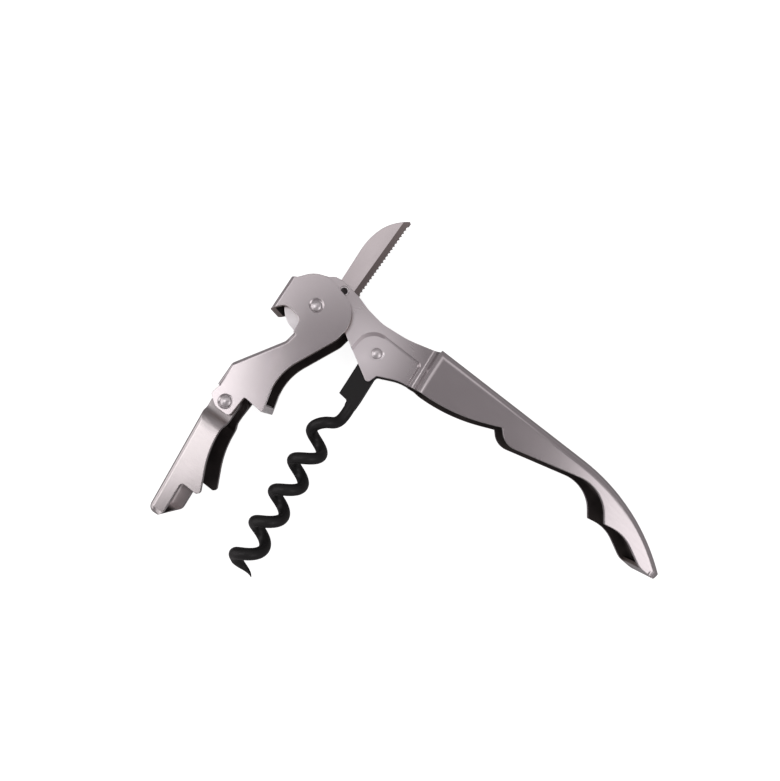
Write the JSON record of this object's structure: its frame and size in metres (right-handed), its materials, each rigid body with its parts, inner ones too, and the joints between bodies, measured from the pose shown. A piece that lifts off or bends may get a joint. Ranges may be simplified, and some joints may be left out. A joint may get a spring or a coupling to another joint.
{
  "type": "double lever corkscrew",
  "caption": "Two-step waiter's corkscrew in pressed steel with a hinged lever, a hinged boot, a folding coated worm and a folding foil knife.",
  "frame": {"origin": "middle of the bounding box, on the surface the corkscrew lies on", "axes": "+X along the handle towards its tail, +Y towards the open knife, +Z along the hinge pins"},
  "size_m": [0.1222, 0.1048, 0.0126],
  "materials": {
    "sheet_steel": "satin",
    "pin_steel": "polished",
    "blade_steel": "ground",
    "worm_coating": "semi-gloss non-stick coating"
  },
  "bodies": {
    "handle": {"handle": "sheet_steel", "lever_rivet": "pin_steel", "lever_bush": "pin_steel", "worm_rivet": "pin_steel", "knife_pin": "pin_steel", "knife_spacers": "pin_steel"},
    "upper_lever": {"upper_lever": "sheet_steel", "link_rivet": "pin_steel", "link_bush": "pin_steel"},
    "lower_lever": {"lower_lever": "sheet_steel"},
    "worm": {"worm": "worm_coating"},
    "knife": {"knife_blade": "blade_steel"}
  },
  "joints": [
    {"name": "lever_pivot", "type": "hinge", "parent": "handle", "child": "upper_lever", "pos_m": [-0.05027, 0.01638, 0.0063], "axis": [0, 0, 1], "range_deg": [-40, 72]},
    {"name": "boot_pivot", "type": "hinge", "parent": "upper_lever", "child": "lower_lever", "pos_m": [-0.05248, -0.01876, 0.0063], "axis": [0, 0, 1], "range_deg": [-60, 22]},
    {"name": "worm_pivot", "type": "hinge", "parent": "handle", "child": "worm", "pos_m": [-0.02962, 0.01663, 0.0063], "axis": [0, 0, 1], "range_deg": [-48, 86.4]},
    {"name": "knife_pivot", "type": "hinge", "parent": "handle", "child": "knife", "pos_m": [-0.04727, 0.02438, 0.0063], "axis": [0, 0, 1], "range_deg": [-94, 30]}
  ],
  "couplings": [
    {"joint": "worm_pivot", "follows": "lever_pivot", "ratio": 1.2}
  ]
}
